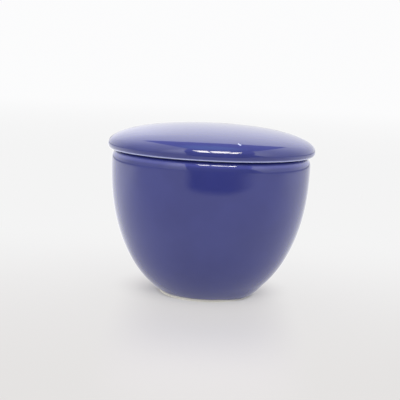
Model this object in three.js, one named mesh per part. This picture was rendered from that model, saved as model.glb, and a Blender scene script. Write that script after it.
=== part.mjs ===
// Sugar bowl with a loose lid: two turned pieces of glazed earthenware.
// The bowl is a slip-cast shell on a bare foot ring. The lid is a shallow crowned shell whose edge
// overhangs the rim, and a locating ring under it drops into the mouth and keeps it from sliding off.
// Millimetres, +Z up, origin at the middle of the foot on the table.
import * as THREE from "three";

// Bowl, outside
const BELLY_DIAMETER = 98; // widest ring
const BELLY_HEIGHT = 65.6; // of the widest ring above the table
const BELLY_FULLNESS = 2.21; // 2 is an ellipse, and more is fuller
const SHOULDER_RISE = 4.8; // from the widest ring to the rim
const FOOT_DIAMETER = 45.6; // where the glaze ends above the foot ring

// Bowl, inside and rim
const WALL = 5.2;
const RIM_SEAT_WIDTH = 1.3; // flat crest that carries the lid
const RIM_INNER_ROUND = 1.2;
const FLOOR_THICKNESS = 5.4;
const FLOOR_FILLET_RISE = 10;

// Bare foot ring
const FOOT_RING_HEIGHT = 1.1;
const FOOT_RING_WIDTH = 4.2;
const FOOT_BEVEL = 0.5;
const FOOT_WELL_DEPTH = 2.4;
const FOOT_WELL_ROUND = 1.6;
const GLAZE_THICKNESS = 0.4; // the step from the glaze in to the bare ring

// Lid
const LID_OVERHANG = 2; // from the bowl's widest ring out to the lid's edge
const LID_LIP_RISE = 2.4; // from the underside to the widest ring
const LID_LIP_INSET = 2.4; // how far the lip rolls under
const LID_CROWN_RISE = 11.5; // from the widest ring to the top
const LID_CROWN_FULLNESS = 2.16;
const LID_WALL = 4.8; // at the middle of the crown
const LID_HOLLOW_FULLNESS = 2.6;

// Locating ring under the lid
const RING_DEPTH = 7;
const RING_THICKNESS = 3.6;
const RING_DRAFT = 0.5; // the ring narrows by this much at its lower edge
const RING_EDGE_ROUND = 1.1;

// Fits
const SEAT_GAP = 0.3; // between the rim's crest and the lid's underside
const RING_CLEARANCE = 1.3; // between the mouth and the locating ring

// Facets
const SEGMENTS = 64; // around the axis
const WALL_STEPS = 12;
const FILLET_STEPS = 5;
const ROUND_STEPS = 4;

// Finish
const GLAZE_BLUE = 0x363c84;
const GLAZE_ROUGHNESS = 0.08;

const QUARTER = Math.PI / 2;

// Quarter of a superellipse about the axis, in radius and height. Turn 0 is its widest ring and turn
// QUARTER its pole. A negative rise hangs it downwards.
class Bulge extends THREE.Curve {
  constructor(height, radius, rise, fullness, fromTurn = 0, toTurn = QUARTER) {
    super();
    Object.assign(this, { height, radius, rise, fullness, fromTurn, toTurn });
  }

  getPoint(share, target = new THREE.Vector2()) {
    const turn = THREE.MathUtils.lerp(this.fromTurn, this.toTurn, share);
    const across = Math.max(0, Math.cos(turn)) ** (2 / this.fullness);
    const along = Math.max(0, Math.sin(turn)) ** (2 / this.fullness);
    return target.set(this.radius * across, this.height + this.rise * along);
  }

  // The turn at which the curve has this share of its rise.
  turnAtRise(share) {
    return Math.asin(share ** (this.fullness / 2));
  }
}

const point = (radius, height) => new THREE.Vector2(radius, height);

// Points of an elliptical round between two angles, in quarter turns from straight outwards to up.
function round(centre, across, along, fromQuarter, toQuarter) {
  const clockwise = toQuarter < fromQuarter;
  const [from, to] = [fromQuarter * QUARTER, toQuarter * QUARTER];
  const curve = new THREE.EllipseCurve(centre.x, centre.y, across, along, from, to, clockwise);
  return curve.getPoints(ROUND_STEPS);
}

// Turns a profile of radius and height about the axis into a closed solid that stands on +Z.
function turned(profile) {
  const outline = profile.filter((p, i) => i === 0 || p.distanceTo(profile[i - 1]) > 1e-4);
  return new THREE.LatheGeometry(outline, SEGMENTS).rotateX(QUARTER);
}

const bellyRadius = BELLY_DIAMETER / 2;
const footRadius = FOOT_DIAMETER / 2;
const mouthRadius = bellyRadius - WALL;
const rimHeight = BELLY_HEIGHT + SHOULDER_RISE;

// Bare ring, and the well inside it
function footPoints() {
  const ringOuter = footRadius - GLAZE_THICKNESS;
  const ringInner = footRadius - FOOT_RING_WIDTH;
  const wellCorner = point(ringInner - FOOT_WELL_ROUND, FOOT_WELL_DEPTH - FOOT_WELL_ROUND);
  return [
    point(0, FOOT_WELL_DEPTH),
    ...round(wellCorner, FOOT_WELL_ROUND, FOOT_WELL_ROUND, 1, 0),
    point(ringInner, 0),
    point(ringOuter - FOOT_BEVEL, 0),
    point(ringOuter, FOOT_BEVEL),
    point(ringOuter, FOOT_RING_HEIGHT),
  ];
}

// Outside from the glaze line up to the widest ring, then the shoulder that rounds in to the rim
function outsidePoints() {
  const wallHeight = BELLY_HEIGHT - FOOT_RING_HEIGHT;
  const footShare = (footRadius / bellyRadius) ** BELLY_FULLNESS;
  const drop = wallHeight / (1 - footShare) ** (1 / BELLY_FULLNESS);
  const wall = new Bulge(BELLY_HEIGHT, bellyRadius, -drop, BELLY_FULLNESS);
  wall.fromTurn = wall.turnAtRise(wallHeight / drop);
  wall.toTurn = 0;
  const shoulderDepth = WALL - RIM_SEAT_WIDTH - RIM_INNER_ROUND;
  const shoulder = point(bellyRadius - shoulderDepth, BELLY_HEIGHT);
  const points = [...wall.getPoints(WALL_STEPS), ...round(shoulder, shoulderDepth, SHOULDER_RISE, 0, 1)];
  return { drop, points };
}

// Inside from the rim's inner edge down the wall, round the fillet and across the floor
function insidePoints(outerDrop) {
  const floor = FOOT_WELL_DEPTH + FLOOR_THICKNESS;
  const drop = outerDrop - WALL;
  const wall = new Bulge(BELLY_HEIGHT, mouthRadius, -drop, BELLY_FULLNESS);
  wall.toTurn = wall.turnAtRise((BELLY_HEIGHT - floor - FLOOR_FILLET_RISE) / drop);
  const filletTop = wall.getPoint(1);
  const slope = wall.getTangent(1);
  const corner = filletTop.clone().addScaledVector(slope, -FLOOR_FILLET_RISE / slope.y);
  const floorEdge = point(corner.x - corner.distanceTo(filletTop), floor);
  const fillet = new THREE.QuadraticBezierCurve(filletTop, corner, floorEdge);
  const rimInner = point(mouthRadius + RIM_INNER_ROUND, rimHeight - RIM_INNER_ROUND);
  return [
    ...round(rimInner, RIM_INNER_ROUND, RIM_INNER_ROUND, 1, 2),
    ...wall.getPoints(WALL_STEPS),
    ...fillet.getPoints(FILLET_STEPS),
    point(0, floor),
  ];
}

function bowlGeometry() {
  const outside = outsidePoints();
  return turned([...footPoints(), ...outside.points, ...insidePoints(outside.drop)]);
}

// The lid in its own frame, with its underside at height 0
function lidGeometry() {
  const lidRadius = bellyRadius + LID_OVERHANG;
  const ringOuter = mouthRadius - RING_CLEARANCE;
  const ringInner = ringOuter - RING_THICKNESS;
  const edgeHeight = RING_EDGE_ROUND - RING_DEPTH;
  const innerEdge = point(ringInner + RING_EDGE_ROUND, edgeHeight);
  const outerEdge = point(ringOuter - RING_DRAFT - RING_EDGE_ROUND, edgeHeight);
  const hollowRise = LID_LIP_RISE + LID_CROWN_RISE - LID_WALL;
  const hollow = new Bulge(0, ringInner, hollowRise, LID_HOLLOW_FULLNESS, QUARTER, 0);
  const crown = new Bulge(LID_LIP_RISE, lidRadius, LID_CROWN_RISE, LID_CROWN_FULLNESS);
  const lip = point(lidRadius - LID_LIP_INSET, LID_LIP_RISE);
  return turned([
    ...hollow.getPoints(WALL_STEPS),
    ...round(innerEdge, RING_EDGE_ROUND, RING_EDGE_ROUND, 2, 3),
    ...round(outerEdge, RING_EDGE_ROUND, RING_EDGE_ROUND, 3, 4),
    point(ringOuter, 0),
    ...round(lip, LID_LIP_INSET, LID_LIP_RISE, 3, 4),
    ...crown.getPoints(WALL_STEPS),
  ]);
}

function piece(name, geometry, height) {
  const finish = { color: GLAZE_BLUE, roughness: GLAZE_ROUGHNESS, metalness: 0 };
  const mesh = new THREE.Mesh(geometry, new THREE.MeshStandardMaterial(finish));
  mesh.name = name;
  mesh.position.z = height;
  return mesh;
}

const sugarBowl = new THREE.Group();
sugarBowl.name = "sugar_bowl";
sugarBowl.add(piece("bowl", bowlGeometry(), 0));
sugarBowl.add(piece("lid", lidGeometry(), rimHeight + SEAT_GAP));

export default sugarBowl;
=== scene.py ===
"""Glazed sugar bowl with its loose lid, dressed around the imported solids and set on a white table."""

import math
from typing import NamedTuple

import bpy
from bpy.props import FloatProperty, FloatVectorProperty, IntProperty, PointerProperty
from mathutils import Matrix, Vector


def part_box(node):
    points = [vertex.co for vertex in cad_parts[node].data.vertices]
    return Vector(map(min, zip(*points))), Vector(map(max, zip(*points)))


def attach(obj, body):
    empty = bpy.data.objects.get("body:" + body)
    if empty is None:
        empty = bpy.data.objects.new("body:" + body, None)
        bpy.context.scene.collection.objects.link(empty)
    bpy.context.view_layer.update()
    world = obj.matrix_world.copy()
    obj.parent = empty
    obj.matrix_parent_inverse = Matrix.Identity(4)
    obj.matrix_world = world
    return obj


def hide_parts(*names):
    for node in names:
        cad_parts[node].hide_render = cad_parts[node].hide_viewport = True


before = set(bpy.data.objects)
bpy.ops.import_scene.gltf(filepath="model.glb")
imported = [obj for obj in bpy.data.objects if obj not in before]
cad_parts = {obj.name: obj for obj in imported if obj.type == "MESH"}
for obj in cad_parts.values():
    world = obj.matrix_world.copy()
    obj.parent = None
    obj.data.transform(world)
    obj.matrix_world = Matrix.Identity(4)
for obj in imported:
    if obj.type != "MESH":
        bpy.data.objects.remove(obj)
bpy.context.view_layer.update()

bl_info = {
    "name": "Sugar Bowl with Lid",
    "version": (1, 0, 0),
    "blender": (4, 5, 0),
    "location": "3D View > Sidebar > Sugar Bowl",
    "description": "Builds a glazed sugar bowl with a loose domed lid, and the white table it stands on",
    "category": "Add Mesh",
}

MM = 0.001
QUARTER = math.pi / 2
FULL_TURN = 2 * math.pi

BOWL_LOW, BOWL_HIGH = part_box("bowl")
LID_LOW, LID_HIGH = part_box("lid")
SEAT_GAP = 0.17 * MM  # between the rim's crest and the lid's underside


def grey(level):
    """A colour of three equal parts."""
    return (level, level, level)


def length(label, description, default):
    """A size in metres that a user can change."""
    return FloatProperty(name=label, description=description, default=default, unit="LENGTH", precision=5)


def share(label, description, default, top=10.0):
    """A plain number that a user can change."""
    return FloatProperty(name=label, description=description, default=default, min=0.0, max=top)


def colour(label, description, default):
    """A linear colour that a user can change."""
    return FloatVectorProperty(
        name=label, description=description, default=default, subtype="COLOR", size=3, min=0.0, max=2.0
    )


def turn(label, description, degrees):
    """An angle that a user can change, given in degrees."""
    default = math.radians(degrees)
    return FloatProperty(name=label, description=description, default=default, subtype="ANGLE")


class BowlSizes(bpy.types.PropertyGroup):
    """Sizes of the bowl's turned profile."""

    belly_diameter: length("Belly Diameter", "Widest ring of the bowl", BOWL_HIGH.x - BOWL_LOW.x)
    rim_height: length("Rim Height", "Crest of the rim above the table", BOWL_HIGH.z)
    shoulder_rise: length("Shoulder Rise", "From the widest ring up to the crest", 4.8 * MM)
    belly_fullness: share("Belly Fullness", "2 is an ellipse, and more is fuller", 2.21)
    foot_diameter: length("Foot Diameter", "Where the glaze ends above the foot ring", 45.6 * MM)
    wall: length("Wall", "Thickness of the wall", 5.2 * MM)
    seat_width: length("Seat Width", "Flat crest that carries the lid", 1.3 * MM)
    rim_inner_round: length("Rim Inner Round", "Round on the rim's inner edge", 1.2 * MM)
    floor_height: length("Floor Height", "Inner floor above the table", 7.8 * MM)
    floor_fillet_rise: length("Floor Fillet Rise", "Height of the fillet round the floor", 10 * MM)
    ring_height: length("Foot Ring Height", "Bare clay between the table and the glaze", 1.1 * MM)
    ring_width: length("Foot Ring Width", "Width of the foot ring", 4.2 * MM)
    ring_round: length("Foot Ring Round", "Round on the ring's lower edges", 0.3 * MM)
    well_depth: length("Well Depth", "Recess inside the foot ring", 2.4 * MM)
    well_round: length("Well Round", "Round between the ring and the well", 1.6 * MM)
    glaze_thickness: length("Glaze Thickness", "Step from the glaze in to the bare ring", 0.15 * MM)
    line_run: length("Glaze Run", "How far the glaze runs down over the ring at one side", 0.85 * MM)


class LidSizes(bpy.types.PropertyGroup):
    """Sizes of the lid's turned profile."""

    diameter: length("Lid Diameter", "Widest ring of the lid", LID_HIGH.x - LID_LOW.x)
    top_height: length("Lid Top", "Top of the crown above the table", LID_HIGH.z)
    seat_height: length("Lid Seat", "Underside of the lid above the table", BOWL_HIGH.z + SEAT_GAP)
    lip_rise: length("Lip Rise", "From the underside to the widest ring", 2.53 * MM)
    lip_inset: length("Lip Inset", "How far the lip rolls under", 2.4 * MM)
    crown_fullness: share("Crown Fullness", "2 is an ellipse, and more is fuller", 2.16)
    wall: length("Lid Wall", "Thickness at the middle of the crown", 4.8 * MM)
    hollow_fullness: share("Hollow Fullness", "Fullness of the underside", 2.6)
    ring_depth: length("Locating Ring Depth", "How far the ring hangs below the seat", 7 * MM)
    ring_outer_radius: length("Locating Ring Radius", "Outside of the ring at the seat", 42.5 * MM)
    ring_thickness: length("Locating Ring Thickness", "Width of the ring", 3.6 * MM)
    ring_draft: length("Locating Ring Draft", "How much the ring narrows downwards", 0.5 * MM)
    ring_round: length("Locating Ring Round", "Round on the ring's lower edges", 1.1 * MM)
    thin_line: length("Thin Glaze Line", "Height of the pale line on the lip", 0.80 * MM)


class GlazeLook(bpy.types.PropertyGroup):
    """Colours and finish of the glaze and the bare clay, with the shoulder's painted light and the lid's
    painted glint.
    """

    deep: colour("Deep Blue", "Glaze where it lies thick", (0.035, 0.043, 0.220))
    pale: colour("Pale Blue", "Glaze where it lies thinner", (0.039, 0.048, 0.238))
    # Light blue is painted light on the bowl's shoulder, where light falls under the lid; on the lid's lip
    # it lies where the glaze draws thin
    light: colour("Light Blue", "Glaze drawn out over a round edge", (0.075, 0.087, 0.40))
    # The thin glaze's pale colour also paints the glint on the lid
    thin: colour("Thin Glaze", "Glaze drawn thin over an edge", (0.64, 0.70, 0.96))
    clay: colour("Bare Clay", "Unglazed cream clay", (0.94, 0.92, 0.82))
    index: share("Glaze Index", "Index of refraction of the glaze", 1.65)
    gloss_roughness: share("Glaze Roughness", "Roughness of the glaze", 0.03, 1.0)
    clay_roughness: share("Clay Roughness", "Roughness of the bare clay", 0.85, 1.0)
    ripple: length("Glaze Ripple", "Depth of the glaze's slow ripple", 0.02 * MM)


class Studio(bpy.types.PropertyGroup):
    """Camera, table and light."""

    distance: length("Camera Distance", "From the bowl's axis, level", 0.4638)
    height: length("Camera Height", "Above the table", 0.1122)
    pan: turn("Camera Pan", "To the right of the bowl's axis", -0.563)
    pitch: turn("Camera Pitch", "Below level", 8.093)
    roll: turn("Camera Roll", "Anticlockwise", 2.661)
    view_angle: turn("View Angle", "Across the picture", 24.017)
    table: colour("Table", "Matt white table top", (0.65, 0.628, 0.595))
    # Painted light and shade on the table: a paler white round the foot as the glaze mirrors it, and a
    # white darker towards the camera, where the bowl's soft shadow falls
    table_near: colour("Table Near", "Even white of the table round the foot", grey(0.80))
    table_front: colour("Table Front", "Even white of the table towards the camera", (0.782, 0.768, 0.76))
    table_left: colour("Table Left", "The table behind and left as the glaze mirrors it", grey(1.35))
    table_right: colour("Table Right", "The table behind and right as the glaze mirrors it", grey(1.1))
    table_shade: colour("Table Shade", "The table far to both sides as the glaze mirrors it", grey(0.48))
    table_back: colour("Table Back", "Even white of the table behind the bowl", grey(0.905))
    backdrop: colour("Backdrop", "What the camera sees behind the table", (0.97, 0.97, 0.975))
    ceiling: colour("Ceiling", "Light from the ceiling straight above", (0.72, 1.0, 1.5))
    ceiling_edge: colour("Ceiling Edge", "Light from the ceiling round that", (0.50, 0.50, 0.84))
    front: share("Front Level", "Light from the open side towards the camera", 0.28)
    backdrop_low: share("Backdrop Low Level", "Light from the backdrop at the table", 0.96)
    backdrop_rise: share("Backdrop Rise", "How much brighter the backdrop is straight up", 1.2)
    backdrop_left: share("Backdrop Left Level", "Light added at the backdrop's lower left", 0.24)
    left_wall: share("Left Wall Level", "Light from the left wall at the table", 0.70)
    left_rise: share("Left Wall Rise", "How much brighter the left wall is straight up", 0.8)
    left_window: share("Left Window Level", "Light added at the left wall's front", 0.9)
    right_wall: share("Right Wall Level", "Light from the right wall at the table", 0.88)
    right_rise: share("Right Wall Rise", "How much brighter the right wall is straight up", 0.5)
    right_window: share("Right Window Level", "Light added at the right wall's front", 0.55)
    strip: share("Strip Level", "Brightness of the strip's panes in the glaze", 15.0, 100.0)
    fill: share("Fill Level", "Soft light from the strip on matt surfaces", 6.0, 100.0)
    key: share("Key Level", "Soft light from above and behind on matt surfaces", 1.6, 100.0)
    strip_colour: colour("Strip Colour", "Tint of the strip's light", (1.0, 0.94, 0.82))


class SugarBowlSettings(bpy.types.PropertyGroup):
    """Everything that the panel shows."""

    bowl: PointerProperty(type=BowlSizes)
    lid: PointerProperty(type=LidSizes)
    glaze: PointerProperty(type=GlazeLook)
    studio: PointerProperty(type=Studio)
    segments: IntProperty(
        name="Segments", description="Faces round the axis", default=256, min=32, max=1024
    )


# Turned profiles


class Station(NamedTuple):
    """One ring of a turned surface, what the glaze does there, and where light is painted on it."""

    radius: float
    height: float
    bare: float = 0.0  # 1 where the clay has no glaze
    thin: float = 0.0  # 1 where the glaze has drawn thin; on the shoulder it carries painted light, up to the light blue share
    follow: float = 0.0  # how far the ring follows the glaze line down


LIGHT_BLUE_SHARE = 0.5  # share of the thin mark at which the colour is light blue, to which the shoulder's painted light rises
SHOULDER_START = (0.12, 0.30)  # share of the shoulder below the crest over which its painted light, a lighter blue, sets in
SHOULDER_END = (0.30, 0.75)  # the same for where it turns back
LIP_FADE = (0.5, 1.6)  # share of the pale line's height over which the line ends
RING_EDGE = 0.2 * MM  # to both sides of the foot ring's inner edge, where the bare clay ends
LINE_FADE = (-0.02 * MM, 0.06 * MM)  # height from the glaze line over which the bare clay ends
KILN_FADE = (0.3 * MM, 0.6 * MM)  # the same from the locating ring's lower edge
RUN_MIDDLE = math.radians(-15)  # where the glaze runs down over the foot ring, round from +X
RUN_REACH = math.radians(60)  # how far to both sides
RUN_FADE = (1.5 * MM, 6 * MM)  # height from the glaze line over which the wall stops following it
LIP_FLAT = 0.6 * MM  # flat underside next to the lip's round
WALL_STEPS = 72
FILLET_STEPS = 16
ROUND_STEPS = 12
SAME_PLACE = 1e-7  # rings that lie closer than this are one ring
CREASE = math.radians(40)  # edges sharper than this stay sharp


def smooth(value, start, end):
    """0 up to start, 1 from end on, and a smooth rise between them."""
    t = min(max((value - start) / (end - start), 0.0), 1.0)
    return t * t * (3 - 2 * t)


def bulge(height, radius, rise, fullness, from_turn, to_turn):
    """Points of a quarter superellipse; turn 0 is its widest ring and a quarter turn its pole."""
    points = []
    for step in range(WALL_STEPS + 1):
        angle = from_turn + (to_turn - from_turn) * step / WALL_STEPS
        across = max(math.cos(angle), 0.0) ** (2 / fullness)
        along = max(math.sin(angle), 0.0) ** (2 / fullness)
        points.append((radius * across, height + rise * along))
    return points


def rounded(centre, across, along, from_quarter, to_quarter):
    """Points of an elliptical round between two angles, in quarter turns from straight outwards to up."""
    points = []
    for step in range(ROUND_STEPS + 1):
        angle = QUARTER * (from_quarter + (to_quarter - from_quarter) * step / ROUND_STEPS)
        points.append((centre[0] + across * math.cos(angle), centre[1] + along * math.sin(angle)))
    return points


def eased(start, corner, end):
    """Points of a quadratic curve that leaves start and meets end along the lines to the corner."""
    points = []
    for step in range(FILLET_STEPS + 1):
        t = step / FILLET_STEPS
        first, middle, last = (1 - t) ** 2, 2 * t * (1 - t), t * t
        points.append(tuple(first * a + middle * b + last * c for a, b, c in zip(start, corner, end)))
    return points


def wall_drop(sizes):
    """Height of the outer wall's whole quarter superellipse, of which the foot cuts off the tip."""
    n = sizes.belly_fullness
    foot_share = (sizes.foot_diameter / sizes.belly_diameter) ** n
    belly_height = sizes.rim_height - sizes.shoulder_rise
    return (belly_height - sizes.ring_height) / (1 - foot_share) ** (1 / n)


def foot_points(sizes):
    """Well, foot ring and the rounded lower edge of the glaze, from the axis outwards."""
    foot_radius = sizes.foot_diameter / 2
    outer = foot_radius - sizes.glaze_thickness
    inner = foot_radius - sizes.ring_width
    round_ = sizes.ring_round
    well = (inner - sizes.well_round, sizes.well_depth - sizes.well_round)
    bead = (outer, sizes.ring_height + sizes.glaze_thickness)
    return [
        (0.0, sizes.well_depth),
        *rounded(well, sizes.well_round, sizes.well_round, 1, 0),
        *rounded((inner + round_, round_), round_, round_, 2, 3),
        *rounded((outer - round_, round_), round_, round_, 3, 4),
        (outer, sizes.ring_height),
        *rounded(bead, sizes.glaze_thickness, sizes.glaze_thickness, 3, 4),
    ]


def bowl_stations(sizes):
    """The bowl's rings, from the middle of the well round the outside and inside to the floor."""
    n = sizes.belly_fullness
    belly_radius = sizes.belly_diameter / 2
    belly_height = sizes.rim_height - sizes.shoulder_rise
    mouth_radius = belly_radius - sizes.wall
    drop = wall_drop(sizes)
    glaze_edge = sizes.ring_height + sizes.glaze_thickness
    foot_turn = math.asin(((belly_height - glaze_edge) / drop) ** (n / 2))
    shoulder_depth = sizes.wall - sizes.seat_width - sizes.rim_inner_round
    shoulder = (belly_radius - shoulder_depth, belly_height)
    rim_inner = (mouth_radius + sizes.rim_inner_round, sizes.rim_height - sizes.rim_inner_round)
    outside = [
        *bulge(belly_height, belly_radius, -drop, n, foot_turn, 0.0),
        *rounded(shoulder, shoulder_depth, sizes.shoulder_rise, 0, 1),
        *rounded(rim_inner, sizes.rim_inner_round, sizes.rim_inner_round, 1, 2),
    ]
    inner_drop = drop - sizes.wall
    fillet_rise = belly_height - sizes.floor_height - sizes.floor_fillet_rise
    fillet_turn = math.asin((fillet_rise / inner_drop) ** (n / 2))
    inner_wall = bulge(belly_height, mouth_radius, -inner_drop, n, 0.0, fillet_turn)
    inside = [*inner_wall, *floor_fillet(inner_wall, sizes.floor_height), (0.0, sizes.floor_height)]
    foot = foot_points(sizes)
    return [
        *(Station(*p, bare=foot_bareness(p, sizes), follow=foot_follow(p, sizes)) for p in foot),
        *(Station(*p, thin=shoulder_painted_light(p, sizes), follow=foot_follow(p, sizes)) for p in outside),
        *(Station(*p) for p in inside),
    ]


def floor_fillet(inner_wall, floor_height):
    """The curve from the end of the inner wall round into the floor."""
    before, top = (Vector(p) for p in inner_wall[-2:])
    slope = top - before
    corner = top + slope * ((floor_height - top.y) / slope.y)
    edge = Vector((corner.x - (corner - top).length, floor_height))
    return eased(top, corner, edge)


def foot_bareness(point, sizes):
    """1 on the foot ring's clay, 0 on the glaze above it and in the well."""
    radius, height = point
    inner = sizes.foot_diameter / 2 - sizes.ring_width
    on_ring = smooth(radius - inner, -RING_EDGE, RING_EDGE)
    return on_ring * (1 - smooth(height - sizes.ring_height, *LINE_FADE))


def shoulder_painted_light(point, sizes):
    """Painted light: highest on the shoulder's curve, which is painted a lighter blue where light falls on
    it below the lid.
    """
    drop = (sizes.rim_height - point[1]) / sizes.shoulder_rise
    return LIGHT_BLUE_SHARE * smooth(drop, *SHOULDER_START) * (1 - smooth(drop, *SHOULDER_END))


def foot_follow(point, sizes):
    """How far a ring follows the glaze line: fully at the line, fading up the wall and down the ring."""
    radius, height = point
    if radius < sizes.foot_diameter / 2 - sizes.ring_width / 2:
        return 0.0
    line = sizes.ring_height
    return min(height / line, 1.0) * (1 - smooth(height - line, *RUN_FADE))


def lid_stations(sizes):
    """The lid's rings, from the middle of its hollow round the locating ring and lip to the top."""
    seat = sizes.seat_height
    lid_radius = sizes.diameter / 2
    ring_outer = sizes.ring_outer_radius
    ring_inner = ring_outer - sizes.ring_thickness
    round_ = sizes.ring_round
    edge_height = seat - sizes.ring_depth + round_
    lip = (lid_radius - sizes.lip_inset, seat + sizes.lip_rise)
    hollow_rise = sizes.top_height - sizes.wall - seat
    crown_rise = sizes.top_height - seat - sizes.lip_rise
    under = [
        *bulge(seat, ring_inner, hollow_rise, sizes.hollow_fullness, QUARTER, 0.0),
        *rounded((ring_inner + round_, edge_height), round_, round_, 2, 3),
        *rounded((ring_outer - sizes.ring_draft - round_, edge_height), round_, round_, 3, 4),
        (ring_outer, seat),
        (lip[0] - LIP_FLAT, seat),
    ]
    over = [
        *rounded(lip, sizes.lip_inset, sizes.lip_rise, 3, 4),
        *bulge(lip[1], lid_radius, crown_rise, sizes.crown_fullness, 0.0, QUARTER),
    ]
    stations = [Station(*p, bare=ring_bareness(p, sizes)) for p in under]
    return stations + [Station(*p, thin=lip_thinness(p, sizes)) for p in over]


def ring_bareness(point, sizes):
    """1 on the locating ring's lower edge, on which the lid stood in the kiln."""
    lowest = sizes.seat_height - sizes.ring_depth
    return 1 - smooth(point[1] - lowest, *KILN_FADE)


def lip_thinness(point, sizes):
    """1 at the lip's lower edge, where the glaze draws back, fading up the lip."""
    above = point[1] - sizes.seat_height
    return 1 - smooth(above / sizes.thin_line, *LIP_FADE)


def glaze_run(angle):
    """1 where the glaze runs down lowest round the foot, fading out to both sides."""
    return smooth(math.cos(angle - RUN_MIDDLE), math.cos(RUN_REACH), 1.0)


def turned_mesh(name, stations, segments, run=0.0):
    """A closed mesh of the stations turned about Z, with what the glaze does as point attributes."""
    points, rings, faces, marks = [], [], [], []
    for station in stations:
        count = segments if station.radius > SAME_PLACE else 1
        rings.append([len(points) + (j if count > 1 else 0) for j in range(segments)])
        for j in range(count):
            angle = FULL_TURN * j / segments
            height = station.height - station.follow * run * glaze_run(angle)
            points.append((station.radius * math.cos(angle), station.radius * math.sin(angle), height))
            marks.append(station)
    for low, high in zip(rings, rings[1:]):
        for j in range(segments):
            k = (j + 1) % segments
            corners = (low[j], low[k], high[k], high[j])
            faces.append(tuple(dict.fromkeys(corners)))
    mesh = bpy.data.meshes.new(name)
    mesh.from_pydata(points, [], faces)
    for mark in ("bare", "thin"):
        layer = mesh.attributes.new(mark, "FLOAT", "POINT")
        layer.data.foreach_set("value", [getattr(s, mark) for s in marks])
    mesh.validate()
    mesh.shade_smooth()
    mesh.set_sharp_from_angle(angle=CREASE)
    return mesh


def without_repeats(stations):
    """The stations with those that lie on the one before them left out."""
    kept = [stations[0]]
    for station in stations[1:]:
        if math.dist(station[:2], kept[-1][:2]) > SAME_PLACE:
            kept.append(station)
    return kept


# Shader expressions


class Field:
    """A socket whose value changes over a surface; arithmetic on it adds Math nodes."""

    def __init__(self, sheet, socket):
        self.sheet = sheet
        self.socket = socket

    def _math(self, operation, first, second):
        return self.sheet.node("ShaderNodeMath", {"operation": operation}, {0: first, 1: second})

    def __add__(self, other):
        return self._math("ADD", self, other)

    def __radd__(self, other):
        return self._math("ADD", other, self)

    def __sub__(self, other):
        return self._math("SUBTRACT", self, other)

    def __rsub__(self, other):
        return self._math("SUBTRACT", other, self)

    def __mul__(self, other):
        return self._math("MULTIPLY", self, other)

    def __rmul__(self, other):
        return self._math("MULTIPLY", other, self)

    def __neg__(self):
        return self._math("MULTIPLY", self, -1.0)


class NodeSheet:
    """One node tree, emptied, with the few ways that its nodes are made."""

    def __init__(self, tree):
        self.tree = tree
        tree.nodes.clear()

    def node(self, kind, settings=None, sockets=None, output=0):
        """Adds a node: its settings first, then the values or links of its sockets."""
        made = self.tree.nodes.new(kind)
        for name, value in (settings or {}).items():
            setattr(made, name, value)
        for key, value in (sockets or {}).items():
            if isinstance(value, Field):
                self.tree.links.new(value.socket, made.inputs[key])
            else:
                made.inputs[key].default_value = value
        return Field(self, made.outputs[output]) if made.outputs else made

    def mix(self, mask, first, second):
        """A colour that goes from first to second as the mask goes from 0 to 1."""
        return self.node("ShaderNodeMix", {"data_type": "RGBA"}, {0: mask, 6: first, 7: second}, output=2)

    def step(self, value, start, end):
        """0 up to start, 1 from end on, and a smooth rise between them."""
        settings = {"interpolation_type": "SMOOTHSTEP"}
        sockets = {"Value": value, "From Min": start, "From Max": end}
        return self.node("ShaderNodeMapRange", settings, sockets)

    def measure(self, operation, first, second=(0.0, 0.0, 0.0)):
        """A number from vectors, such as a distance or a dot product."""
        return self.node("ShaderNodeVectorMath", {"operation": operation}, {0: first, 1: second}, "Value")

    def noise(self, place, cloud):
        """Cloudy noise between 0 and 1, with the scale and detail of a cloud."""
        return self.node("ShaderNodeTexNoise", None, {"Vector": place, **cloud})

    def mark(self, name):
        """A point attribute of the mesh."""
        return self.node("ShaderNodeAttribute", {"attribute_name": name}, output="Fac")

    def split(self, vector):
        """The three parts of a vector."""
        made = self.node("ShaderNodeSeparateXYZ", None, {0: vector})
        return [Field(self, socket) for socket in made.socket.node.outputs]


def opaque(rgb):
    """A colour property as the four numbers that a socket takes."""
    return (*rgb, 1.0)


def new_material(name):
    """A material with an empty sheet of nodes."""
    material = bpy.data.materials.new(name)
    material.use_nodes = True
    return material, NodeSheet(material.node_tree)


def add_object(name, data):
    """A new object in the scene."""
    made = bpy.data.objects.new(name, data)
    bpy.context.scene.collection.objects.link(made)
    return made


# Glaze

BLUE_CLOUD = {"Scale": 45.0, "Detail": 2.0}  # slow change between deep and pale blue
BLUE_EDGES = (0.35, 0.65)
RIPPLE_CLOUD = {"Scale": 260.0, "Detail": 1.0}
GRAIN_CLOUD = {"Scale": 1800.0, "Detail": 4.0}
GRAIN_DEPTH = 2.0  # of the bare clay's grain over the glaze's ripple
GLINT_CORE = 0.4  # share of a painted glint's radius that is fully pale

# Place and radius of pale spots in the lid's glaze, which paint a glint
LID_PAINTED_GLINTS = (
    ((12.0 * MM, -44.4 * MM, 78.65 * MM), 0.75 * MM),
    ((12.7 * MM, -44.9 * MM, 78.25 * MM), 0.8 * MM),
)


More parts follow.
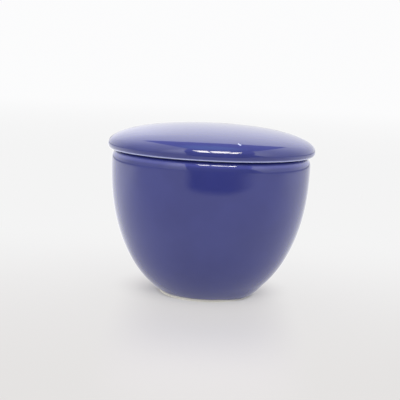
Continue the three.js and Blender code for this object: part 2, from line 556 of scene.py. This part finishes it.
def glaze_material(name, look, painted_glints):
    """Glossy blue glaze that thins to a pale line at the lid's lower edge, with painted light on the bowl's
    shoulder and a painted glint on the lid, over cream clay that is bare where it stood.
    """
    material, sheet = new_material(name)
    place = sheet.node("ShaderNodeTexCoord", output="Object")
    bare, thin = sheet.mark("bare"), sheet.mark("thin")
    cloud = sheet.step(sheet.noise(place, BLUE_CLOUD), *BLUE_EDGES)
    blue = sheet.mix(cloud, opaque(look.deep), opaque(look.pale))
    # Painted light: the shoulder turns light blue where light falls on it; the lid's thin line passes
    # through the same blue
    drawn = sheet.mix(sheet.step(thin, 0.0, LIGHT_BLUE_SHARE), blue, opaque(look.light))
    # Painted glint: pale spots in the glaze colour where a glint shows on the lid
    for middle, radius in painted_glints:
        away = sheet.measure("DISTANCE", place, middle)
        thin = thin + 1 - sheet.step(away, radius * GLINT_CORE, radius)
    drawn = sheet.mix(sheet.step(thin, LIGHT_BLUE_SHARE, 1.0), drawn, opaque(look.thin))
    base = sheet.mix(bare, drawn, opaque(look.clay))
    roughness = look.gloss_roughness + bare * (look.clay_roughness - look.gloss_roughness)
    ripple = sheet.noise(place, RIPPLE_CLOUD) * (1 - bare)
    relief = ripple + sheet.noise(place, GRAIN_CLOUD) * bare * GRAIN_DEPTH
    bump = {"Distance": look.ripple, "Height": relief}
    normal = sheet.node("ShaderNodeBump", None, bump, output="Normal")
    finish = {"Base Color": base, "Roughness": roughness, "IOR": look.index, "Normal": normal}
    surface = sheet.node("ShaderNodeBsdfPrincipled", None, finish)
    sheet.node("ShaderNodeOutputMaterial", None, {"Surface": surface})
    return material


def dress(name, stations, body, run=0.0, painted_glints=()):
    """Adds a turned piece in its glaze that stands for a solid and moves with its body."""
    settings = bpy.context.scene.sugar_bowl
    mesh = turned_mesh(name, without_repeats(stations), settings.segments, run)
    mesh.materials.append(glaze_material(name + "_glaze", settings.glaze, painted_glints))
    piece = add_object(name, mesh)
    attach(piece, body)
    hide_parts(body)


# Operators


class SUGARBOWL_OT_bowl(bpy.types.Operator):
    """Turn the bowl with its foot ring and inside"""

    bl_idname = "sugar_bowl.bowl"
    bl_label = "Make Bowl"

    def execute(self, context):
        sizes = context.scene.sugar_bowl.bowl
        dress("glazed_bowl", bowl_stations(sizes), "bowl", sizes.line_run)
        return {"FINISHED"}


class SUGARBOWL_OT_lid(bpy.types.Operator):
    """Turn the lid with its locating ring"""

    bl_idname = "sugar_bowl.lid"
    bl_label = "Make Lid"

    def execute(self, context):
        dress("glazed_lid", lid_stations(context.scene.sugar_bowl.lid), "lid", painted_glints=LID_PAINTED_GLINTS)
        return {"FINISHED"}


class SUGARBOWL_OT_stage(bpy.types.Operator):
    """Set the table, the light and the camera"""

    bl_idname = "sugar_bowl.stage"
    bl_label = "Set Stage"

    def execute(self, context):
        studio = context.scene.sugar_bowl.studio
        make_table(studio)
        make_flag()
        make_strip(studio)
        make_key(studio)
        context.scene.world = studio_world(studio)
        context.scene.camera = make_camera(studio)
        context.scene.view_settings.view_transform = "Standard"
        return {"FINISHED"}


# Stage

TABLE_RADIUS = 6.0
TABLE_SIDES = 96
TABLE_SLOPE = (-0.16, 0.16)  # from the front to the back, how the even white grows lighter: painted shade towards the camera
TABLE_BRIGHT = (-0.10, 0.11)  # the same as the glaze mirrors it
TABLE_SIDE = (0.58, 0.92)  # how far to a side it turns darker there
TABLE_NEAR = (0.035, 0.13)  # distance from the bowl's axis over which the light under the foot ends
TABLE_CONTACT = (0.020, 0.048)  # distance over which the shading beside and behind the foot ends
TABLE_CONTACT_MIDDLE = (-0.002, 0.0105, 0.0)  # where that distance is measured from
TABLE_DEEP = 0.25  # share of even white there at the foot
TABLE_PINCH = (0.0225, 0.0252)  # distance over which the dark line along the foot ends
TABLE_PINCH_SIDE = (-0.021, -0.014)  # where it starts, from the front to the back
TABLE_PINCHED = 0.6  # share of the even white that it takes away
TABLE_SOFT = 0.12  # share of the shading that ends farther off
TABLE_SOFT_END = (0.06, 0.20)  # distance over which it does
TABLE_FOOT = 0.57  # share of even white before the foot
TABLE_DIP = (0.03, 0.08)  # distance over which the shading there grows
TABLE_SINK = 0.30  # by how much
TABLE_FADE = (0.09, 0.20)  # distance over which it ends
TABLE_AHEAD = (0.012, 0.045)  # how far to a side of the axis the shading before the foot reaches
TABLE_AHEAD_START = (0.0, 0.02)  # how far before the axis it starts
TABLE_MIRRORED_FADE = (0.04, 0.09)  # distance over which the mirrored table loses its shading
TABLE_TURN = (-0.1, 0.1)  # from left to right, how the mirrored table behind the bowl changes
TABLE_END = (0.6, 2.5)  # distance over which the table fades into the backdrop
TABLE_LIFT = 0.57  # share of even white round the foot in the light that the bowl gets


def make_table(studio):
    """A large round table top at height 0 that fades into the backdrop with distance."""
    mesh = bpy.data.meshes.new("table")
    corners = [FULL_TURN * j / TABLE_SIDES for j in range(TABLE_SIDES)]
    rim = [(TABLE_RADIUS * math.cos(a), TABLE_RADIUS * math.sin(a), 0.0) for a in corners]
    mesh.from_pydata(rim, [], [tuple(range(TABLE_SIDES))])
    mesh.materials.append(table_material(studio))
    add_object("table", mesh)


def table_material(studio):
    """Matt white with the bowl's shadow, farther off the backdrop's even white, and clear from below."""
    material, sheet = new_material("table")
    place = sheet.node("ShaderNodeTexCoord", output="Object")
    reach = sheet.measure("LENGTH", place)
    apart = sheet.step(reach, *TABLE_NEAR)
    mirrored = sheet.node("ShaderNodeLightPath", output="Is Glossy Ray")
    white = table_white(sheet, studio, place, reach, apart, mirrored)
    evenness = table_evenness(sheet, place, reach, apart, mirrored)
    matt = sheet.node("ShaderNodeBsdfDiffuse", None, {"Color": opaque(studio.table)})
    glow = sheet.node("ShaderNodeEmission", None, {"Color": white})
    top = sheet.node("ShaderNodeMixShader", None, {0: evenness, 1: matt, 2: glow})
    below = sheet.node("ShaderNodeNewGeometry", output="Backfacing")
    clear = sheet.node("ShaderNodeBsdfTransparent")
    surface = sheet.node("ShaderNodeMixShader", None, {0: below, 1: top, 2: clear})
    sheet.node("ShaderNodeOutputMaterial", None, {"Surface": surface})
    return material


def table_white(sheet, studio, place, reach, apart, mirrored):
    """The even white: as the camera sees it out to the backdrop, and as the glaze mirrors it."""
    x, y, _ = sheet.split(place)
    # Painted shade: the white is darker towards the camera than behind the bowl
    even = sheet.mix(sheet.step(y, *TABLE_SLOPE), opaque(studio.table_front), opaque(studio.table_back))
    plain = sheet.mix(sheet.step(reach, *TABLE_END), even, opaque(studio.backdrop))
    around = sheet.mix(apart, opaque(studio.table_near), even)
    behind = sheet.mix(sheet.step(x, *TABLE_TURN), opaque(studio.table_left), opaque(studio.table_right))
    bright = sheet.mix(sheet.step(y, *TABLE_BRIGHT), around, behind)
    aside = sheet.step(x * x, TABLE_SIDE[0] ** 2, TABLE_SIDE[1] ** 2)
    in_glaze = sheet.mix(aside, bright, opaque(studio.table_shade))
    return sheet.mix(mirrored, plain, in_glaze)


def table_evenness(sheet, place, reach, apart, mirrored):
    """The share of even white, which is least in the shading round the foot."""
    x, y, _ = sheet.split(place)
    away = sheet.measure("DISTANCE", place, TABLE_CONTACT_MIDDLE)
    contact = sheet.step(away, *TABLE_CONTACT) * (1 - TABLE_DEEP - TABLE_SOFT)
    beside = TABLE_DEEP + contact + sheet.step(away, *TABLE_SOFT_END) * TABLE_SOFT
    faded = sheet.step(reach, *TABLE_FADE) * (1 - TABLE_FOOT + TABLE_SINK)
    before = TABLE_FOOT - sheet.step(reach, *TABLE_DIP) * TABLE_SINK + faded
    inside = 1 - sheet.step(x * x, TABLE_AHEAD[0] ** 2, TABLE_AHEAD[1] ** 2)
    ahead = inside * sheet.step(-y, *TABLE_AHEAD_START)
    for_camera = beside + ahead * (before - beside)
    far = mirrored * sheet.step(reach, *TABLE_MIRRORED_FADE)
    for_others = far + (1 - apart) * TABLE_LIFT * (1 - far)
    seen = sheet.node("ShaderNodeLightPath", output="Is Camera Ray")
    pinch = (1 - sheet.step(reach, *TABLE_PINCH)) * sheet.step(y, *TABLE_PINCH_SIDE)
    return (for_others + seen * (for_camera - for_others)) * (1 - pinch * TABLE_PINCHED)


FLAG_DISTANCE = 0.20  # in front of the bowl's axis
FLAG_LEFT = (-0.108, -0.050)  # where it fades in
FLAG_RIGHT = (0.055, 0.255)  # where it fades out
FLAG_FOOT = (0.0095, 0.0245)  # over the middle
FLAG_TILT = 0.03  # how much its foot falls to the right
FLAG_HEAD = (0.06, 0.09)
FLAG_GREY = 0.10


def make_flag():
    """A dark soft-edged card on the camera's side, which only the glaze sees and mirrors on the belly."""
    left, right = FLAG_LEFT[0], FLAG_RIGHT[1]
    top, y = FLAG_HEAD[1], -FLAG_DISTANCE
    mesh = bpy.data.meshes.new("flag")
    corners = [(left, y, 0), (right, y, 0), (right, y, top), (left, y, top)]
    mesh.from_pydata(corners, [], [(0, 1, 2, 3)])
    mesh.materials.append(flag_material())
    flag = add_object("flag", mesh)
    flag.visible_camera = False
    flag.visible_diffuse = False
    flag.visible_shadow = False


def flag_material():
    """Dark grey that fades out towards the card's sides and foot."""
    material, sheet = new_material("flag")
    x, _, z = sheet.split(sheet.node("ShaderNodeTexCoord", output="Object"))
    across = sheet.step(x, *FLAG_LEFT) * (1 - sheet.step(x, *FLAG_RIGHT))
    density = across * sheet.step(z + x * FLAG_TILT, *FLAG_FOOT) * (1 - sheet.step(z, *FLAG_HEAD))
    clear = sheet.node("ShaderNodeBsdfTransparent")
    dark = sheet.node("ShaderNodeBsdfDiffuse", None, {"Color": opaque(grey(FLAG_GREY))})
    surface = sheet.node("ShaderNodeMixShader", None, {0: density, 1: clear, 2: dark})
    sheet.node("ShaderNodeOutputMaterial", None, {"Surface": surface})
    return material


STRIP_HEIGHT = 1.1
STRIP_MIDDLE = (0.15, -0.835)
STRIP_TURN = math.radians(5.5)
STRIP_WIDTH = 0.57
STRIP_PANES = (  # place along the strip, length, and how far it is set towards the camera
    (-0.327, 0.268, 0.0),
    (0.030, 0.369, 0.0),
    (0.355, 0.200, 0.07),
)
FILL_SIZE = (0.90, 0.38)
KEY_PLACE = (0.0, 0.75, 0.95)
KEY_SIZE = (1.4, 0.7)


def area_light(name, place, size, level, tint):
    """A rectangular lamp of a given brightness that faces down and that the camera doesn't see."""
    light = bpy.data.lights.new(name, "AREA")
    light.shape = "RECTANGLE"
    light.size, light.size_y = size
    light.color = tint
    light.energy = level * math.pi * size[0] * size[1]
    lamp = add_object(name, light)
    lamp.location = place
    lamp.visible_camera = False
    return lamp


def make_strip(studio):
    """A row of bright panes under the ceiling that the glaze mirrors, and their soft light on the rest."""
    along = Vector((math.cos(STRIP_TURN), math.sin(STRIP_TURN), 0.0))
    middle = Vector((*STRIP_MIDDLE, STRIP_HEIGHT))
    across = Vector((along.y, -along.x, 0.0))
    for place, pane_length, forward in STRIP_PANES:
        size = (pane_length, STRIP_WIDTH)
        spot = middle + along * place + across * forward
        pane = area_light("strip_pane", spot, size, studio.strip, studio.strip_colour)
        pane.rotation_euler.z = STRIP_TURN
        pane.visible_diffuse = False
    fill = area_light("fill", middle, FILL_SIZE, studio.fill, studio.strip_colour)
    fill.visible_glossy = False


def make_key(studio):
    """A large soft lamp above and behind the bowl, whose shadow falls towards the camera."""
    key = area_light("key", KEY_PLACE, KEY_SIZE, studio.key, studio.strip_colour)
    key.rotation_euler = Vector(KEY_PLACE).to_track_quat("Z", "Y").to_euler()
    key.visible_glossy = False


# A direction meets a wall where it is on the positive side of all of the wall's edges.
LEFT_WALL = ((-0.92, -0.23, -0.32), (-0.894, 0.408, -0.187))
RIGHT_WALL = ((0.87, -0.087, -0.49), (0.72, 0.61, -0.31), (0.43, 0.75, 0.46))
BACKDROP_LEFT = (0.0, 0.2)  # how far to the left a direction points where the backdrop is brighter
BACKDROP_LOW = (0.42, 0.62)  # height of a direction over which that ends
BACKDROP_TOP = 0.69  # distance of the backdrop's top edge over its height
BACKDROP_BEND = 0.80  # how far that edge bends away to both sides
CEILING_TOP = (0.91, 1.0)  # height of a direction over which the ceiling's light turns bluer
CEILING_FRONT = (0.45, 0.8)  # the same for the change from the open front to the ceiling
WALL_BACK = (0.1, 0.7)  # how far a direction points backwards where the side walls are brighter
LEFT_BACK = 0.5  # light that the left wall gains there
RIGHT_BACK = 0.3  # the same for the right wall
WINDOW_TURN = 0.6  # how much farther forward a window starts the more a direction points to its side
LEFT_WINDOW = (-0.1, 0.3)  # how far a direction points forwards where the left window starts
LEFT_WINDOW_RISE = (0.1, 0.6)  # height of a direction over which it grows
LEFT_WINDOW_LOW = 0.3  # share of it at the table
RIGHT_WINDOW = (-0.45, 0.1)  # how far a direction points forwards where the right window starts
RIGHT_WINDOW_RISE = (0.0, 0.35)  # height of a direction over which it grows
EDGE_SOFT = 0.015  # to both sides of an edge of a wall or of the backdrop


def on_wall(sheet, direction, edges):
    """1 where a direction lies within all of a wall's edges."""
    sides = []
    for edge in edges:
        dot = sheet.measure("DOT_PRODUCT", direction, edge)
        sides.append(sheet.step(dot, -EDGE_SOFT, EDGE_SOFT))
    return math.prod(sides[1:], start=sides[0])


def left_wall_level(sheet, studio, x, y, z):
    """Light from the left wall, brighter upwards and backwards, with a window at its front."""
    growth = LEFT_WINDOW_LOW + sheet.step(z, *LEFT_WINDOW_RISE) * (1 - LEFT_WINDOW_LOW)
    window = sheet.step(x * WINDOW_TURN - y, *LEFT_WINDOW) * growth
    plain = studio.left_wall + z * studio.left_rise
    return plain + window * studio.left_window + sheet.step(y, *WALL_BACK) * LEFT_BACK


def right_wall_level(sheet, studio, x, y, z):
    """Light from the right wall, made in the same way."""
    window = sheet.step(x * -WINDOW_TURN - y, *RIGHT_WINDOW) * sheet.step(z, *RIGHT_WINDOW_RISE)
    plain = studio.right_wall + z * studio.right_rise
    return plain + window * studio.right_window + sheet.step(y, *WALL_BACK) * RIGHT_BACK


def backdrop_level(sheet, studio, x, z):
    """Light from the backdrop, brighter upwards and at its lower left."""
    low_left = sheet.step(-x, *BACKDROP_LEFT) * (1 - sheet.step(z, *BACKDROP_LOW))
    return studio.backdrop_low + z * studio.backdrop_rise + low_left * studio.backdrop_left


def studio_world(studio):
    """White room: a bright backdrop, two side walls with windows, a dim ceiling and an open front."""
    world = bpy.data.worlds.new("studio")
    world.use_nodes = True
    sheet = NodeSheet(world.node_tree)
    direction = sheet.node("ShaderNodeTexCoord", output="Generated")
    x, y, z = sheet.split(direction)
    ceiling = sheet.mix(sheet.step(z, *CEILING_TOP), opaque(studio.ceiling_edge), opaque(studio.ceiling))
    light = sheet.mix(sheet.step(z, *CEILING_FRONT), opaque(grey(studio.front)), ceiling)
    for wall, level in ((LEFT_WALL, left_wall_level), (RIGHT_WALL, right_wall_level)):
        light = sheet.mix(on_wall(sheet, direction, wall), light, level(sheet, studio, x, y, z))
    behind = sheet.step(y * z - z * z * BACKDROP_TOP - x * x * BACKDROP_BEND, -EDGE_SOFT, EDGE_SOFT)
    light = sheet.mix(behind, light, backdrop_level(sheet, studio, x, z))
    room = sheet.node("ShaderNodeBackground", None, {"Color": light})
    white = sheet.node("ShaderNodeBackground", None, {"Color": opaque(studio.backdrop)})
    seen = sheet.node("ShaderNodeLightPath", output="Is Camera Ray")
    surface = sheet.node("ShaderNodeMixShader", None, {0: seen, 1: room, 2: white})
    sheet.node("ShaderNodeOutputWorld", None, {"Surface": surface})
    return world


def make_camera(studio):
    """The camera at the photograph's place, turn and view angle."""
    data = bpy.data.cameras.new("camera")
    data.sensor_fit = "HORIZONTAL"
    data.angle = studio.view_angle
    camera = add_object("camera", data)
    pan = Matrix.Rotation(-studio.pan, 4, "Z")
    pitch = Matrix.Rotation(QUARTER - studio.pitch, 4, "X")
    roll = Matrix.Rotation(studio.roll, 4, "Z")
    camera.matrix_world = Matrix.Translation((0.0, -studio.distance, studio.height)) @ pan @ pitch @ roll
    return camera


# Panel


class SUGARBOWL_PT_panel(bpy.types.Panel):
    """Sizes, colours and steps of the sugar bowl"""

    bl_idname = "SUGARBOWL_PT_panel"
    bl_label = "Sugar Bowl"
    bl_space_type = "VIEW_3D"
    bl_region_type = "UI"
    bl_category = "Sugar Bowl"

    def draw(self, context):
        settings = context.scene.sugar_bowl
        for group in (settings.bowl, settings.lid, settings.glaze, settings.studio):
            box = self.layout.box()
            for name in group.__annotations__:
                box.prop(group, name)
        self.layout.prop(settings, "segments")
        for operator in STEPS:
            self.layout.operator(operator.bl_idname)


STEPS = (SUGARBOWL_OT_bowl, SUGARBOWL_OT_lid, SUGARBOWL_OT_stage)
CLASSES = (BowlSizes, LidSizes, GlazeLook, Studio, SugarBowlSettings, *STEPS, SUGARBOWL_PT_panel)


def register():
    """Adds the classes and the scene's settings."""
    for cls in CLASSES:
        bpy.utils.register_class(cls)
    bpy.types.Scene.sugar_bowl = PointerProperty(type=SugarBowlSettings)


def unregister():
    """Takes the classes and the scene's settings away again."""
    del bpy.types.Scene.sugar_bowl
    for cls in reversed(CLASSES):
        bpy.utils.unregister_class(cls)


def main():
    """Makes the pieces and the stage."""
    register()
    bpy.ops.sugar_bowl.bowl()
    bpy.ops.sugar_bowl.lid()
    bpy.ops.sugar_bowl.stage()


if __name__ == "__main__":
    main()
